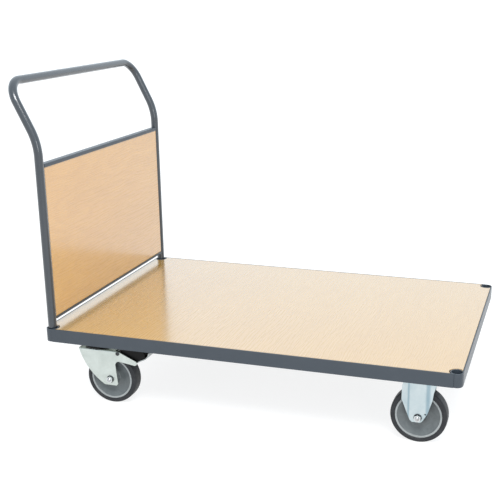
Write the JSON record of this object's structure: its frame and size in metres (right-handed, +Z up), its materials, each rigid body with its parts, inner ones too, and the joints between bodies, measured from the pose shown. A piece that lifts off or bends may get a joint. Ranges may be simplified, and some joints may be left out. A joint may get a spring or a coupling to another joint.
{
  "type": "flatbed platform truck",
  "caption": "Flatbed platform truck: wooden deck in a steel edge frame with corner sockets, plug-in push handle with a wooden end panel, two braked swivel casters and two fixed casters.",
  "frame": {"origin": "on the floor, under the middle of the truck's overall length and width", "axes": "+X from the handle end towards the front end, +Y to the left when pushing towards +X, +Z up"},
  "size_m": [1.3176, 0.8, 0.972],
  "materials": {
    "painted_steel": "satin anthracite powder coat",
    "deck_wood": "satin beech-grain laminate",
    "panel_wood": "satin beech-grain laminate",
    "zinc_steel": "bright zinc plate",
    "steel": "plain steel",
    "grey_rim": "moulded grey polyamide",
    "grey_tyre": "dark grey rubber",
    "black_plastic": "moulded black plastic"
  },
  "bodies": {
    "platform": {"side_rail_right": "painted_steel", "side_rail_left": "painted_steel", "handle_end_rail": "painted_steel", "front_end_rail": "painted_steel", "handle_socket_right": "painted_steel", "handle_socket_left": "painted_steel", "front_socket_right": "painted_steel", "front_socket_left": "painted_steel", "deck_board": "deck_wood", "swivel_caster_beam": "painted_steel", "fixed_caster_beam": "painted_steel", "cross_member_1": "painted_steel", "cross_member_2": "painted_steel", "swivel_right_top_plate": "zinc_steel", "swivel_right_upper_race": "zinc_steel", "swivel_right_kingpin": "steel", "fixed_right_fork": "zinc_steel", "fixed_right_axle_bolt": "steel", "fixed_right_axle_nut": "zinc_steel", "fixed_right_axle_bush": "steel", "swivel_left_top_plate": "zinc_steel", "swivel_left_upper_race": "zinc_steel", "swivel_left_kingpin": "steel", "fixed_left_fork": "zinc_steel", "fixed_left_axle_bolt": "steel", "fixed_left_axle_nut": "zinc_steel", "fixed_left_axle_bush": "steel"},
    "handle": {"handle_tube": "painted_steel", "panel_board": "panel_wood", "panel_top_channel": "painted_steel", "panel_bottom_channel": "painted_steel"},
    "swivel_right": {"swivel_right_fork": "zinc_steel", "swivel_right_lower_race": "black_plastic", "swivel_right_axle_bolt": "steel", "swivel_right_axle_nut": "zinc_steel", "swivel_right_axle_bush": "steel", "swivel_right_pedal_pin": "zinc_steel"},
    "swivel_right_wheel": {"swivel_right_rim": "grey_rim", "swivel_right_tyre": "grey_tyre"},
    "swivel_right_pedal": {"swivel_right_brake_lever": "zinc_steel", "swivel_right_pedal_cover": "black_plastic"},
    "fixed_right_wheel": {"fixed_right_rim": "grey_rim", "fixed_right_tyre": "grey_tyre"},
    "swivel_left": {"swivel_left_fork": "zinc_steel", "swivel_left_lower_race": "black_plastic", "swivel_left_axle_bolt": "steel", "swivel_left_axle_nut": "zinc_steel", "swivel_left_axle_bush": "steel", "swivel_left_pedal_pin": "zinc_steel"},
    "swivel_left_wheel": {"swivel_left_rim": "grey_rim", "swivel_left_tyre": "grey_tyre"},
    "swivel_left_pedal": {"swivel_left_brake_lever": "zinc_steel", "swivel_left_pedal_cover": "black_plastic"},
    "fixed_left_wheel": {"fixed_left_rim": "grey_rim", "fixed_left_tyre": "grey_tyre"}
  },
  "joints": [
    {"name": "handle_lift", "type": "slide", "parent": "platform", "child": "handle", "axis": [0, 0, 1], "range_m": [0, 0.036]},
    {"name": "swivel_right_turn", "type": "hinge", "parent": "platform", "child": "swivel_right", "pos_m": [-0.44918, -0.325, 0.18], "axis": [0, 0, 1], "continuous": true},
    {"name": "swivel_right_wheel_spin", "type": "hinge", "parent": "swivel_right", "child": "swivel_right_wheel", "pos_m": [-0.39818, -0.325, 0.08], "axis": [0, 1, 0], "continuous": true},
    {"name": "swivel_right_brake", "type": "hinge", "parent": "swivel_right", "child": "swivel_right_pedal", "pos_m": [-0.36918, -0.325, 0.165], "axis": [0, 1, 0], "range_deg": [0, 12]},
    {"name": "fixed_right_wheel_spin", "type": "hinge", "parent": "platform", "child": "fixed_right_wheel", "pos_m": [0.53682, -0.325, 0.08], "axis": [0, 1, 0], "continuous": true},
    {"name": "swivel_left_turn", "type": "hinge", "parent": "platform", "child": "swivel_left", "pos_m": [-0.44918, 0.325, 0.18], "axis": [0, 0, 1], "continuous": true},
    {"name": "swivel_left_wheel_spin", "type": "hinge", "parent": "swivel_left", "child": "swivel_left_wheel", "pos_m": [-0.39818, 0.325, 0.08], "axis": [0, 1, 0], "continuous": true},
    {"name": "swivel_left_brake", "type": "hinge", "parent": "swivel_left", "child": "swivel_left_pedal", "pos_m": [-0.36918, 0.325, 0.165], "axis": [0, 1, 0], "range_deg": [0, 12]},
    {"name": "fixed_left_wheel_spin", "type": "hinge", "parent": "platform", "child": "fixed_left_wheel", "pos_m": [0.53682, 0.325, 0.08], "axis": [0, 1, 0], "continuous": true}
  ]
}
